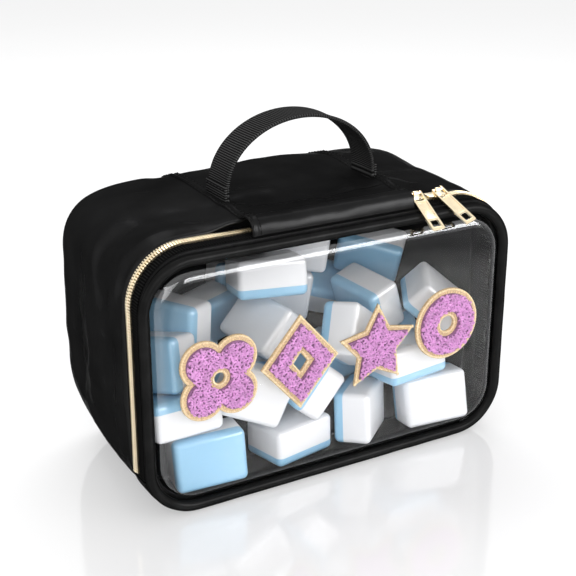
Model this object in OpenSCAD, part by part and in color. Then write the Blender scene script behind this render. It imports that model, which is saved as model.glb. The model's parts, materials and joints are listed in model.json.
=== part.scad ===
// Soft zip case with a clear front window, packed with mahjong tiles.
// X runs along the front to the right, Y from the front to the back, Z up.
// The origin is the middle of the base, on the surface that the case stands on.

/* [Case] */
// Width of the front, over the piping
front_w = 230; // [220:1:240]
// Height of the front, over the piping
front_h = 143; // [135:1:150]
// Depth from the front plane to the back
case_d = 120; // [112:1:124]
// Outer corner radius of the front
corner_r = 29.5; // [27:0.5:32]
// Height that the top swells above the top of the front
top_swell = 12; // [10:0.5:13]
// Rounding of the edges round the back
back_r = 14; // [12:1:18]
// Radius to which the two lower corners grow at the back
low_bend = 46; // [40:1:50]
// Thickness of the outer cloth
cloth_t = 1.6; // [1.2:0.1:2]
// Thickness of the padding
foam_t = 2; // [1.5:0.1:3]
// Thickness of the lining
lining_t = 0.8; // [0.6:0.1:1]
// Distance of the two cross seams from the middle of the top panel
seam_x = 49; // [46:1:50]
// Width of the folded binding over a cross seam
binding_w = 4; // [3:0.5:4.5]

/* [Window] */
// Thickness of the piping round the window
piping_d = 5.7; // [5:0.1:6]
// Thickness of the clear sheet
sheet_t = 0.6; // [0.4:0.1:0.8]
// Distance of the flat of the window in front of the middle of the piping
window_dome = 4; // [3:0.5:4.5]

/* [Zip] */
// Distance of the middle of the zip behind the front plane
zip_back = 12; // [12:0.5:13]
// Width of the closed chain of teeth
chain_w = 6; // [5.5:0.5:6.5]
// Distance from one tooth to the next on the same side
tooth_pitch = 2.4; // [2.2:0.1:3]
// Height at which both ends of the zip stop
zip_end_z = 22; // [20:1:30]
// Length of a slider
slider_l = 12; // [10:0.5:12]
// Middles of the left and the right slider along the top
slider_x = [55.5, 70.5]; // [54:0.5:74]
// Length of a pull from its hinge to its end
pull_l = 27; // [24:1:32]
// Width of a pull
pull_w = 8.2; // [7:0.1:8.4]
// Angle at which the pulls droop over the piping
pull_droop = 32; // [20:1:32]
// Angles to which the loose left and right pulls lie turned in their plane
pull_yaw = [0, 16]; // [0:1:18]

/* [Handle] */
// Width of the webbing
strap_w = 22; // [20:1:24]
// Thickness of the webbing
strap_t = 1.8; // [1.5:0.1:2.2]
// Half the span of the handle, over the webbing
handle_half = 47; // [45:1:47]
// Height of the arch above the top of the case
handle_rise = 40.5; // [36:0.5:46]

/* [Patches] */
// Thickness of the felt backing
felt_t = 1.4; // [1:0.1:2]
// Height of the looped pile on the felt
pile_t = 2.6; // [2:0.1:3.5]
// Width of felt that shows round the pile
felt_edge = 3; // [2:0.5:4]

/* [Tiles] */
// Length of a tile
tile_l = 40; // [38:0.5:41]
// Width of a tile
tile_w = 30; // [28:0.5:31]
// Thickness of a tile with its blue back
tile_t = 21.5; // [20:0.5:22]
// Rounding of the edges of a tile
tile_r = 4; // [3:0.5:5]

/* [Hidden] */
$fn = 64;
far = 400;

front_y = -case_d / 2;
piping_r = piping_d / 2;
piping_half = front_w / 2 - piping_r;
piping_bend = corner_r - piping_r;

// Zip: outer half width, top and corner radius of the tapes' outer face.
tape_t = 0.8;
tape_half = front_w / 2 - 0.8;
tape_top = front_h + 2.5;
tape_bend = corner_r + 0.5;
zip_y = front_y + zip_back;
lane = 0.5;
tooth_h = 1.7;
tooth_w = 1.3;
facing_t = 1.4;

// Body: the shell's front edge lies flush beside the teeth.
shell_y = zip_y + chain_w / 2 + 0.3;
back_y = case_d / 2;
back_bulge = 2;
round_y = back_y - back_r - back_bulge;
shell_half = tape_half + cloth_t;
shell_top = tape_top + cloth_t;
top_shift = 2;
n_tube = 6;
n_round = 4;
n_cap = 2;
cap_step = 16;
last = n_tube + n_round + n_cap;
seam_station = n_tube + 2;
black = [0.07, 0.07, 0.07];
gold = [0.93, 0.83, 0.62];

// Body surface. A station is [y, half width, bottom, top, lower radius, upper radius, swell,
// crown], and d is the depth below the outer face, so that cloth, padding and lining nest.
top_crown = 3.5;
function tube(s, d) =
  [shell_y + s * (round_y - shell_y),
   shell_half + 1.2 * sin(180 * s) - 2 * s - d,
   d,
   shell_top + (front_h + top_swell - top_crown - shell_top) * sin(90 * s) - d,
   corner_r + 2 + (low_bend - corner_r - 2) * s - d,
   corner_r + 2 - d,
   sin(180 * min(1, s * 1.2 + 0.05)),
   top_crown * sin(90 * min(1, 2 * s))];
function inset(e, y, rest) =
  let (b = tube(1, 0))
  [y, b[1] - e, b[2] + e, b[3] - e, max(8, b[4] - e), max(8, b[5] - e), 0, b[7] * rest];
function station(i, d) =
  i <= n_tube ? tube(i / n_tube, d)
  : i <= n_tube + n_round
    ? let (a = 90 * (i - n_tube) / n_round)
      inset(back_r - (back_r - d) * cos(a), round_y + (back_r - d) * sin(a), cos(a))
    : let (j = i - n_tube - n_round)
      inset(back_r + cap_step * j,
            round_y + back_r - d + back_bulge * (1 - pow(1 - j / (n_cap + 1), 2)), 0);

// One loop of points round a station, clockwise from the bottom left as seen from the front.
arc_n = 6;
side_n = 3;
side_bulge = 2;
top_xs = [-68, top_shift - seam_x, -24, top_shift, 28, top_shift + seam_x, 68];
function bend(x, z, r, from) =
  [for (k = [0 : arc_n]) let (a = from - 90 * k / arc_n) [x + r * cos(a), z + r * sin(a)]];
function lift(i, x) =
  abs(x - top_shift) > seam_x ? 0 : (flap_under - shell_top) * pow(max(0, 1 - i / 3), 2);
function loop(i, d) =
  let (s = station(i, d), a = s[1], lo = s[2], hi = s[3], r = s[4], r2 = s[5],
       in = a - r, in2 = a - r2,
       fit = min(1, in2 / (tube(1, 0)[1] - tube(1, 0)[5])),
       flat = [for (j = [1 : side_n - 1]) [a + side_bulge * s[6] * sin(180 * j / side_n),
                                           lo + r + (hi - lo - r - r2) * j / side_n]],
       pts = concat(
         bend(-in, lo + r, r, 270),
         [for (p = flat) [-p[0], p[1]]],
         bend(-in2, hi - r2, r2, 180),
         [for (x = top_xs) [x * fit, hi + s[7] * (1 - pow(x * fit / in2, 2)) + lift(i, x)]],
         bend(in2, hi - r2, r2, 90),
         [for (j = [side_n - 2 : -1 : 0]) flat[j]],
         bend(in, lo + r, r, 0),
         [[30, lo], [-30, lo]]))
  [for (p = pts) [p[0], s[0], p[1]]];
arc_p = arc_n + 1;
k_seam_l = 2 * arc_p + side_n;
k_seam_r = k_seam_l + 4;
k_base = 4 * arc_p + 2 * (side_n - 1) + len(top_xs) - 1;
loop_n = k_base + 3;

function quad(a, b, c, d) = [[a, b, c], [a, c, d]];

// Sheet of cloth over stations i0 to i1 and loop points k0 to k1, from depth d0 to d1.
module cloth(i0, i1, k0, k1, d0, d1) {
  rows = i1 - i0;
  cols = k1 - k0;
  n = cols + 1;
  q = (rows + 1) * n;
  pts = [for (d = [d0, d1], i = [i0 : i1])
         let (l = loop(i, d)) for (k = [k0 : k1]) l[k % loop_n]];
  faces = [
    for (i = [0 : rows - 1], k = [0 : cols - 1]) let (a = i * n + k, b = a + n)
      each concat(quad(a, b, b + 1, a + 1), quad(q + a, q + a + 1, q + b + 1, q + b)),
    for (k = [0 : cols - 1]) each quad(k, k + 1, q + k + 1, q + k),
    for (k = [0 : cols - 1]) let (a = rows * n + k) each quad(a + 1, a, q + a, q + a + 1),
    for (i = [0 : rows - 1]) let (a = i * n, b = a + n) each quad(b, a, q + a, q + b),
    for (i = [0 : rows - 1]) let (a = i * n + cols, b = a + n) each quad(a, b, q + b, q + a)
  ];
  polyhedron(pts, faces, convexity = 6);
}

// Pocket of cloth: every station from i0 on, closed across the back.
module pocket(i0, d0, d1) {
  rows = last - i0;
  n = loop_n;
  q = (rows + 1) * n;
  middle = (tube(1, 0)[2] + tube(1, 0)[3]) / 2;
  pts = concat([for (d = [d0, d1], i = [i0 : last]) each loop(i, d)],
               [for (d = [d0, d1]) [0, back_y - d, middle]]);
  faces = [
    for (i = [0 : rows - 1], k = [0 : n - 1])
      let (a = i * n + k, a2 = i * n + (k + 1) % n, b = a + n, b2 = a2 + n)
      each concat(quad(a, b, b2, a2), quad(q + a, q + a2, q + b2, q + b)),
    for (k = [0 : n - 1]) let (k2 = (k + 1) % n) each quad(k, k2, q + k2, q + k),
    for (k = [0 : n - 1]) let (a = rows * n + k, a2 = rows * n + (k + 1) % n)
      each [[a2, a, 2 * q], [q + a, q + a2, 2 * q + 1]]
  ];
  polyhedron(pts, faces, convexity = 6);
}

// Rounded rectangle in the XY plane, Y standing for height.
module outline(half, low, high, r) {
  translate([-half + r, low]) square([2 * (half - r), high - low]);
  translate([-half, low + r]) square([2 * half, high - low - 2 * r]);
  for (sx = [-1, 1], z = [low + r, high - r]) translate([sx * (half - r), z]) circle(r);
}
// Draws a 2D shape of X and height as a plate between two depths.
module upright(y_from, y_to) {
  translate([0, y_to, 0]) rotate([90, 0, 0]) linear_extrude(y_to - y_from) children();
}
// Ring of thickness t that runs round the front between two depths.
module band(y_from, y_to, half, low, high, r, t) {
  upright(y_from, y_to) difference() {
    outline(half, low, high, r);
    outline(half - t, low + t, high - t, r - t);
  }
}
module above(z) { translate([-far / 2, -far / 2, z]) cube(far); }

// Piping: a round cord bent round the window, of diameter d.
module piping_ring(d) {
  in = piping_half - piping_bend;
  low = piping_r + piping_bend;
  high = front_h - piping_r - piping_bend;
  for (c = [[1, high, 0], [-1, high, 90], [-1, low, 180], [1, low, 270]])
    translate([c[0] * in, front_y, c[1]]) rotate([90, 0, 0]) rotate([0, 0, c[2]])
      rotate_extrude(angle = 90) translate([piping_bend, 0]) circle(d = d);
  for (z = [piping_r, front_h - piping_r])
    translate([-in, front_y, z]) rotate([0, 90, 0]) cylinder(h = 2 * in, d = d);
  for (sx = [-1, 1])
    translate([sx * piping_half, front_y, low]) cylinder(h = high - low, d = d);
}

// Outer panels
module back_panel() { color(black) pocket(seam_station, 0, cloth_t); }
module side_panel_left() {
  color(black) cloth(0, seam_station, 0, k_seam_l, 0, cloth_t);
}
module side_panel_right() {
  color(black) cloth(0, seam_station, k_seam_r, k_base, 0, cloth_t);
}
module base_panel() { color(black) cloth(0, seam_station, k_base, loop_n, 0, cloth_t); }
module top_panel() { color(black) cloth(0, seam_station, k_seam_l, k_seam_r, 0, cloth_t); }
module foam_padding() { color([0.3, 0.3, 0.32]) pocket(1, cloth_t, cloth_t + foam_t); }
module lining() {
  color([0.2, 0.2, 0.21]) pocket(1, cloth_t + foam_t, cloth_t + foam_t + lining_t);
}
// Strip of the case under and beside the piping, below the ends of the zip.
module base_gusset() {
  color(black) difference() {
    band(front_y + 3.4, shell_y, shell_half, 0, front_h + 1, corner_r + 1, cloth_t);
    above(zip_end_z);
  }
}

// Fold of the top panel that hangs over the zip between the cross seams. It ends short of
// the left slider, and is high enough for a slider with its pull to pass below.
flap_t = 1;
flap_from = front_y + 4.6;
flap_under = front_h + 9.7;
flap_lip = 3;
flap_ends = [top_shift - seam_x - binding_w / 2, slider_x[0] - 5];
module zip_flap() {
  lip_y = flap_from + flap_lip;
  lip_z = flap_under + flap_t - flap_lip;
  color(black) translate([flap_ends[0], 0, 0])
    rotate([90, 0, 90]) linear_extrude(flap_ends[1] - flap_ends[0]) {
      intersection() {
        difference() {
          translate([lip_y, lip_z]) circle(flap_lip);
          translate([lip_y, lip_z]) circle(flap_lip - flap_t);
        }
        translate([lip_y - flap_lip, lip_z]) square(flap_lip);
      }
      translate([lip_y, flap_under]) square([shell_y + 0.1 - lip_y, flap_t]);
    }
}

// Folded binding along a cross seam. The left one also covers the end of the flap, and the
// right one stops short of the sliders.
binding_t = 1.1;
binding_gap = 0.2;
module seam_binding(k) {
  line = [for (i = [0 : seam_station + 1]) loop(i, 0)[k]];
  path = k != k_seam_l ? line
    : concat([for (y = [flap_from + 0.8, shell_y + 0.4]) [line[0][0], y, flap_under + flap_t]],
             [for (i = [1 : len(line) - 1]) line[i]]);
  n = len(path);
  pts = [for (h = [binding_gap, binding_t], p = path, sx = [-1, 1])
         p + [sx * binding_w / 2 * (1 - 0.12 * h), 0, h]];
  faces = [
    for (i = [0 : n - 2]) let (a = 2 * i, q = 2 * n)
      each concat(quad(a, a + 1, a + 3, a + 2), quad(q + a, q + a + 2, q + a + 3, q + a + 1),
                  quad(a, a + 2, q + a + 2, q + a), quad(a + 3, a + 1, q + a + 1, q + a + 3)),
    each quad(1, 0, 2 * n, 2 * n + 1),
    each quad(2 * n - 2, 2 * n - 1, 4 * n - 1, 4 * n - 2)
  ];
  color(black) polyhedron(pts, faces, convexity = 4);
}
module seam_binding_left() { seam_binding(k_seam_l); }
module seam_binding_right() { seam_binding(k_seam_r); }

// Window, its binding and the cords and cloths round it
window_half = piping_half - 1.15;
window_rings = [[0, 2.8], [1.6, 2], [3.4, -0.6], [6, -2.6], [10, -3.7], [14, -4]];
window_arc = 6;
function ring_pts(e, y) =
  let (r = corner_r - 4 - e, in = window_half - e - r, lo = 4 + e + r, hi = front_h - lo)
  [for (c = [[-in, lo, 270], [-in, hi, 180], [in, hi, 90], [in, lo, 0]],
        k = [0 : window_arc])
     let (a = c[2] - 90 * k / window_arc) [c[0] + r * cos(a), y, c[1] + r * sin(a)]];
module window_panel() {
  n = 4 * (window_arc + 1);
  rows = len(window_rings) - 1;
  q = (rows + 1) * n;
  pts = concat(
    [for (t = [0, sheet_t], w = window_rings)
       each ring_pts(w[0], front_y + w[1] * window_dome / 4 + t)],
    [for (t = [0, sheet_t]) [0, front_y - window_dome + t, front_h / 2]]);
  faces = [
    for (i = [0 : rows - 1], k = [0 : n - 1])
      let (a = i * n + k, a2 = i * n + (k + 1) % n, b = a + n, b2 = a2 + n)
      each concat(quad(a2, b2, b, a), quad(q + a, q + b, q + b2, q + a2)),
    for (k = [0 : n - 1]) let (k2 = (k + 1) % n) each quad(q + k, q + k2, k2, k),
    for (k = [0 : n - 1]) let (a = rows * n + k, a2 = rows * n + (k + 1) % n)
      each [[a, a2, 2 * q], [q + a2, q + a, 2 * q + 1]]
  ];
  color([0.9, 0.93, 0.95, 0.3]) polyhedron(pts, faces, convexity = 6);
}
module window_binding() {
  color(black) band(front_y + 3.45, front_y + 4.45, facing_half - facing_gap, 2, facing_top - facing_gap,
                    facing_bend - facing_gap, 4.5);
}
module window_piping() { color(black) piping_ring(piping_d); }
// Cloth between the piping and the front tape, thicker along the top.
facing_gap = 0.1;
facing_half = tape_half - tape_t - facing_gap - facing_t;
facing_low = tape_t + facing_gap;
facing_top = front_h - 0.5;
facing_rise = tape_top - tape_t - facing_gap - facing_top;
facing_bend = tape_bend - tape_t - facing_gap - facing_t;
module zip_facing() {
  color(black) difference() {
    intersection() {
      upright(front_y + 1.2, zip_y - 4.4) difference() {
        outline(facing_half + facing_t, facing_low, facing_top + facing_rise, facing_bend + facing_t);
        outline(facing_half, -2, facing_top, facing_bend);
      }
      above(zip_end_z + 0.4);
    }
    piping_ring(piping_d + 2 * facing_gap);
  }
}

// Zip tapes and teeth
module tape(y_from, y_to) {
  color(black) intersection() {
    band(y_from, y_to, tape_half, 0, tape_top, tape_bend, tape_t);
    above(zip_end_z + 0.4);
  }
}
module zip_tape_door() { tape(front_y + 3.5, zip_y - lane); }
// The case's tape has a second layer that reaches back under the shell, a little deeper.
tape_sink = 0.4;
module zip_tape_case() {
  tape(zip_y + lane, shell_y - 0.1);
  color(black) intersection() {
    band(zip_y + lane, zip_y + 8.5, tape_half - tape_sink, tape_sink, tape_top - tape_sink,
         tape_bend - tape_sink, tape_t);
    above(corner_r + 3);
  }
}

zip_side = tape_top - tape_bend - zip_end_z - 1;
zip_arc = PI * tape_bend / 2;
zip_run = 2 * (tape_half - tape_bend);
zip_len = 2 * zip_side + 2 * zip_arc + zip_run;
// Point of the zip at length t from its left end: [x, z, direction of the outward normal].
function zip_at(t) =
  t > zip_len / 2 ? let (p = zip_at(zip_len - t)) [-p[0], p[1], 180 - p[2]]
  : t < zip_side ? [-tape_half, zip_end_z + 1 + t, 180]
  : t < zip_side + zip_arc
    ? let (a = 180 - 90 * (t - zip_side) / zip_arc)
      [-tape_half + tape_bend + tape_bend * cos(a), tape_top - tape_bend + tape_bend * sin(a), a]
    : [-tape_half + tape_bend + t - zip_side - zip_arc, tape_top, 90];
module tooth_row(side, start) {
  nose = 0.4;
  shape = [[lane, -tooth_w / 4], [lane + nose, -tooth_w / 2], [chain_w / 2, -tooth_w / 2],
           [chain_w / 2, tooth_w / 2], [lane + nose, tooth_w / 2], [lane, tooth_w / 4]];
  color(gold) for (t = [start : tooth_pitch : zip_len - 1]) {
    p = zip_at(t);
    translate([p[0], zip_y, p[1]]) rotate([0, -p[2], 0]) rotate([90, 0, 90])
      linear_extrude(tooth_h) polygon([for (v = shape) [side * v[0], v[1]]]);
  }
}
module zip_teeth_case() { tooth_row(1, 1); }
module zip_teeth_door() { tooth_row(-1, 1 + tooth_pitch / 2); }

// Sliders: two plates on a post that runs in the lane between the rows of teeth. The top
// plate has a flange in front of the teeth, and a crown with the bore for the pull.
slider_gap = 0.2;
plate_t = 0.8;
plate_z = tape_top + tooth_h + slider_gap;
under_z = tape_top - tape_t - 0.7 - plate_t;
crown_y = zip_y - 2.4;
crown_z = plate_z + plate_t + 2.7;
bar_r = 0.6;
crown_r = 1.3;
crown_w = 3.4;
module slider(x, way) {
  e = slider_l / 2;
  plate = [[-e, -2.4], [-e + 1.5, -3.6], [e - 2, -4.1], [e, -3.4],
           [e, 2.5], [e - 2, 3], [-e + 1.5, 2.9], [-e, 2]];
  color(gold) translate([x, 0, 0]) {
    for (z = [under_z, plate_z])
      translate([0, zip_y, z]) linear_extrude(plate_t)
        polygon([for (p = plate) [way * p[0], p[1]]]);
    translate([way * (e - 3.5) - 1, zip_y - 0.3, under_z + plate_t / 2])
      cube([2, 0.6, plate_z - under_z]);
    translate([-e + 2.5, zip_y - 3.9, tape_top + 0.3])
      cube([slider_l - 5, 0.6, plate_z - tape_top]);
    difference() {
      union() {
        translate([-crown_w / 2, crown_y, crown_z]) rotate([0, 90, 0])
          cylinder(h = crown_w, r = crown_r);
        translate([-crown_w / 2, crown_y - crown_r, plate_z + plate_t / 2])
          cube([crown_w, 2 * crown_r, crown_z - plate_z - plate_t / 2]);
      }
      translate([-crown_w, crown_y, crown_z]) rotate([0, 90, 0])
        cylinder(h = 2 * crown_w, r = bar_r + 0.08);
    }
  }
}
module slider_left() { slider(slider_x[0], 1); }
module slider_right() { slider(slider_x[1], -1); }

// Pull: a flat bar with a raised rim, a slot near its end and an eye round its hinge bar.
pull_t = 1.1;
rim = 1.1;
eye_l = 6;
eye_end = 1.3;
module rounded(w, from, to, r) {
  translate([-w / 2, from + r]) square([w, to - from - 2 * r]);
  translate([-w / 2 + r, from]) square([w - 2 * r, to - from]);
  for (sx = [-1, 1], v = [from + r, to - r]) translate([sx * (w / 2 - r), v]) circle(r);
}
module pull(x, yaw) {
  recess = 0.25;
  color(gold) translate([x, crown_y, crown_z]) rotate([pull_droop, 0, 0])
    mirror([0, 1, 0]) {
      rotate([0, 0, -yaw]) difference() {
        translate([0, 0, -pull_t / 2]) linear_extrude(pull_t) difference() {
          rounded(pull_w, -eye_end, pull_l, 1);
          rounded(pull_w - 2 * rim, -2 * eye_end, eye_l, 0.9);
          rounded(pull_w - 2 * rim - 0.8, pull_l - 7, pull_l - 2, 0.4);
        }
        for (z = [-pull_t, pull_t / 2 - recess])
          translate([0, 0, z]) linear_extrude(z < 0 ? pull_t / 2 + recess : pull_t)
            rounded(pull_w - 2 * rim, eye_l + 1.2, pull_l - 8, 0.4);
      }
      translate([-pull_w / 2 + 0.5, 0, 0]) rotate([0, 90, 0])
        cylinder(h = pull_w - 1, r = bar_r);
    }
}
module pull_left() { pull(slider_x[0], pull_yaw[0]); }
module pull_right() { pull(slider_x[1], pull_yaw[1]); }

// Handle: webbing sewn into the cross seams. Each end turns in a short fixed tab.
strap_y = front_y + 51;
arch_z = front_h + top_swell - 0.5;
turn_z = arch_z + strap_w / 2 + 1.5;
tab_gap = 0.8;
module arch_2d(half, rise) {
  n = 48;
  polygon([for (k = [0 : n]) let (a = 180 * k / n) [half * cos(a), rise * sin(a)]]);
}
leg = 5;
module webbing() {
  translate([top_shift, 0, arch_z]) upright(strap_y - strap_w / 2, strap_y + strap_w / 2) {
    difference() {
      arch_2d(handle_half, handle_rise);
      arch_2d(handle_half - strap_t, handle_rise - strap_t);
    }
    for (x = [-handle_half, handle_half - strap_t]) translate([x, -leg]) square([strap_t, leg]);
  }
}
module turn_cut(r) {
  translate([-far / 2, strap_y, turn_z]) rotate([0, 90, 0]) cylinder(h = far, r = r);
}
module handle_strap() {
  color(black) difference() {
    webbing();
    difference() {
      translate([-far / 2, -far / 2, 0]) cube([far, far, turn_z]);
      turn_cut(strap_w / 2);
    }
  }
}
// Space above the binding of a cross seam, on which the webbing ends.
module over_seam(k) {
  line = [for (i = [1 : 5]) loop(i, 0)[k] + [0, 0, binding_t]];
  rotate([90, 0, 90]) linear_extrude(far)
    polygon([for (p = concat(line, [[0, line[4][1], far], [0, line[0][1], far]])) [p[1], p[2]]]);
}
module handle_tab(side) {
  color(black) intersection() {
    difference() {
      webbing();
      turn_cut(strap_w / 2 + tab_gap);
      above(turn_z - 0.5);
    }
    translate([side < 0 ? -far : 0, 0, 0]) over_seam(side < 0 ? k_seam_l : k_seam_r);
  }
}
module handle_tab_left() { handle_tab(-1); }
module handle_tab_right() { handle_tab(1); }

// Patches: a felt shape with a smaller one of looped pile on it.
patch_y = front_y - window_dome;
module felt() { color([0.85, 0.72, 0.45]) upright(patch_y - felt_t, patch_y) children(); }
module pile() {
  color([0.66, 0.36, 0.75]) upright(patch_y - felt_t - pile_t, patch_y - felt_t) children();
}
flower_at = [-74, 76];
diamond_at = [-26, 74];
star_at = [23, 72];
ring_at = [70, 76];
module flower(grow) {
  translate(flower_at) difference() {
    union() {
      for (a = [45 : 90 : 315]) translate([13 * cos(a), 13 * sin(a)]) circle(9.8 + grow);
      circle(12);
    }
    circle(6 - grow);
  }
}
module lozenge(x, z) { polygon([[x, 0], [0, z], [-x, 0], [0, -z]]); }
module diamond(grow) {
  translate(diamond_at) difference() {
    lozenge(19.5 + 1.4 * grow, 22.5 + 1.5 * grow);
    lozenge(8.5 - 1.4 * grow, 10 - 1.5 * grow);
  }
}
module star(grow) {
  points = 5;
  translate(star_at) polygon([for (k = [0 : 2 * points - 1])
    let (a = 90 + 180 * k / points, r = k % 2 == 0 ? 20.5 + 1.6 * grow : 10.5 + grow)
    [r * cos(a), r * sin(a)]]);
}
module ring(grow) {
  translate(ring_at) difference() {
    circle(18.2 + grow);
    circle(7.5 - grow);
  }
}
module felt_flower() { felt() flower(felt_edge); }
module pile_flower() { pile() flower(0); }
module felt_diamond() { felt() diamond(felt_edge); }
module pile_diamond() { pile() diamond(0); }
module felt_star() { felt() star(felt_edge); }
module pile_star() { pile() star(0); }
module felt_ring() { felt() ring(felt_edge); }
module pile_ring() { pile() ring(0); }

// Tiles: the middle of each and its turns about X, Y and Z. The first ones show through the
// window, each as its own node, and the last ones lie behind and below them.
tiles = [
  [-74, -47, 23, -3, -3, -8],
  [-16, -36, 16, 88, 0, 11],
  [-92, -27, 74, -8, -11, -61],
  [-74, -8, 85, -4, 1, -60],
  [-88, -42, 50, -102, 1, 4],
  [-42, 20, 73, 13, 1, 28],
  [-22, -17, 76, -44, 5, -78],
  [-43, -18, 46, 3, 10, 0],
  [-20, -17, 107, 81, 1, -12],
  [2, 12, 84, 3, 8, -20],
  [13, 8, 114, 2, 8, -30],
  [72, 17, 95, 27, 12, -40],
  [52, -11, 76, 20, 3, -83],
  [46, 31, 72, -54, 21, 3],
  [85, -35, 76, 108, 41, -18],
  [73, -12, 43, 6, 62, 9],
  [59, -41, 49, 83, -3, 3],
  [75, -46, 22, -10, -3, -10],
  [29, -40, 22, 4, -6, -137],
  [-6, -34, 46, 40, 0, 90],
  [21, -41, 71, -8, 33, 33],
  [-43, -41, 51, 0, -27, -179],
  [28, -6, 44, -11, 6, 21],
  [-60, 15, 17, 90, 2, 10],
  [-10, 20, 19, 90, 0, 60],
  [49, 21, 20, 89, 0, -18],
  [-52, 27, 43, 1, 3, 21],
  [8, 26, 46, 0, 1, -20],
  [-5, 41, 82, 2, 2, -2]
];
front_tiles = 23;
module bar(a, b, length) { linear_extrude(length, center = true) outline(a / 2, -b / 2, b / 2, tile_r); }
module tile(n) {
  t = tiles[n - 1];
  color([0.95, 0.95, 0.98]) translate([t[0], t[1], t[2]]) rotate([t[3], t[4], t[5]])
    intersection() {
      bar(tile_l, tile_t, tile_w);
      rotate([90, 0, 0]) bar(tile_l, tile_w, tile_t);
      rotate([0, 90, 0]) bar(tile_w, tile_t, tile_l);
    }
}
module tile_01() { tile(1); }
module tile_02() { tile(2); }
module tile_03() { tile(3); }
module tile_04() { tile(4); }
module tile_05() { tile(5); }
module tile_06() { tile(6); }
module tile_07() { tile(7); }
module tile_08() { tile(8); }
module tile_09() { tile(9); }
module tile_10() { tile(10); }
module tile_11() { tile(11); }
module tile_12() { tile(12); }
module tile_13() { tile(13); }
module tile_14() { tile(14); }
module tile_15() { tile(15); }
module tile_16() { tile(16); }
module tile_17() { tile(17); }
module tile_18() { tile(18); }
module tile_19() { tile(19); }
module tile_20() { tile(20); }
module tile_21() { tile(21); }
module tile_22() { tile(22); }
module tile_23() { tile(23); }
module tiles_behind() { for (n = [front_tiles + 1 : len(tiles)]) tile(n); }

back_panel();
side_panel_left();
side_panel_right();
top_panel();
base_panel();
base_gusset();
zip_flap();
seam_binding_left();
seam_binding_right();
foam_padding();
lining();
zip_tape_case();
zip_teeth_case();
handle_tab_left();
handle_tab_right();
handle_strap();
window_panel();
window_binding();
window_piping();
zip_facing();
zip_tape_door();
zip_teeth_door();
slider_left();
slider_right();
pull_left();
pull_right();
felt_flower();
pile_flower();
felt_diamond();
pile_diamond();
felt_star();
pile_star();
felt_ring();
pile_ring();
tile_01();
tile_02();
tile_03();
tile_04();
tile_05();
tile_06();
tile_07();
tile_08();
tile_09();
tile_10();
tile_11();
tile_12();
tile_13();
tile_14();
tile_15();
tile_16();
tile_17();
tile_18();
tile_19();
tile_20();
tile_21();
tile_22();
tile_23();
tiles_behind();
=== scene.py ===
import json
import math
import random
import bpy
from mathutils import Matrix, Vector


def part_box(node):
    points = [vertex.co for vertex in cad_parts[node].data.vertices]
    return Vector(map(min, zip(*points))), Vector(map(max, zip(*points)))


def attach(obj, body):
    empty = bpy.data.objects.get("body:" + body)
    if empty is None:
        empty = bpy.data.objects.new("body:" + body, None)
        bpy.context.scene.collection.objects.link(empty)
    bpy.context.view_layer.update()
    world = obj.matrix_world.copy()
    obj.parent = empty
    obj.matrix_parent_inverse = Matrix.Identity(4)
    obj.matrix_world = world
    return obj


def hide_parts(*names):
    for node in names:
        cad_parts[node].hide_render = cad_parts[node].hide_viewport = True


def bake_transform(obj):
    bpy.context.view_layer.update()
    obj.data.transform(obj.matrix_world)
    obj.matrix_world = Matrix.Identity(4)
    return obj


bl_info = {
    "name": "Soft zip case with a clear window",
    "version": (1, 0, 0),
    "blender": (4, 5, 0),
    "location": "3D View > Sidebar > Case",
    "description": "Builds the cloth, zip, window, patches and tiles of a soft zip case round its CAD model",
    "category": "Add Mesh",
}

import bmesh
import bpy
from bpy.props import FloatProperty, FloatVectorProperty, PointerProperty
from mathutils import Euler, Matrix, Vector, noise
from mathutils.bvhtree import BVHTree

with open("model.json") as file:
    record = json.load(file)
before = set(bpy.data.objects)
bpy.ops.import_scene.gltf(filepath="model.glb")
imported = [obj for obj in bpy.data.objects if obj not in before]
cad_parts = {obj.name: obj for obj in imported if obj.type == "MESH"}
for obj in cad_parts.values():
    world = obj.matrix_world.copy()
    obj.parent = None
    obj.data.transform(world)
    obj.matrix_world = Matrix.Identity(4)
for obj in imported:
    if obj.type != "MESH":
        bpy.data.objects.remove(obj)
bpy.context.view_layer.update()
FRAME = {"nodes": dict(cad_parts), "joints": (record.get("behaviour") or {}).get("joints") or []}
MM = 0.001
# Angles in degrees past which an edge stays sharp, on cloth and on metal.
SHARP, METAL_SHARP = 40, 30


def low(node):
    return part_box(node)[0]


def high(node):
    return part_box(node)[1]


def joint(name):
    return next(j for j in FRAME["joints"] if j["name"] == name)


# Places and sizes taken from the frame, in metres.
PIPING_D = high("window_piping").y - low("window_piping").y
FRONT_Y = (high("window_piping").y + low("window_piping").y) / 2
FRONT_W = high("window_piping").x - low("window_piping").x
FRONT_H = high("window_piping").z
SHELL_Y = low("side_panel_left").y
BACK_Y = high("back_panel").y
SHELL_HALF = high("side_panel_right").x
TAPE_FRONT, TAPE_REAR = low("zip_tape_door").y, high("zip_tape_case").y
ZIP_Y = (high("zip_tape_door").y + low("zip_tape_case").y) / 2
TAPE_HALF = high("zip_tape_case").x
TAPE_TOP = high("zip_tape_case").z
ZIP_LOW = low("zip_tape_case").z
CORNER_R = 29.5 * MM
TAPE_R = CORNER_R + 0.5 * MM
SEAM_X = {side: (low("seam_binding_" + side).x + high("seam_binding_" + side).x) / 2
          for side in ("left", "right")}
STRAP_X, STRAP_Y, TURN_Z = joint("handle_flop")["pos_m"]

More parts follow.
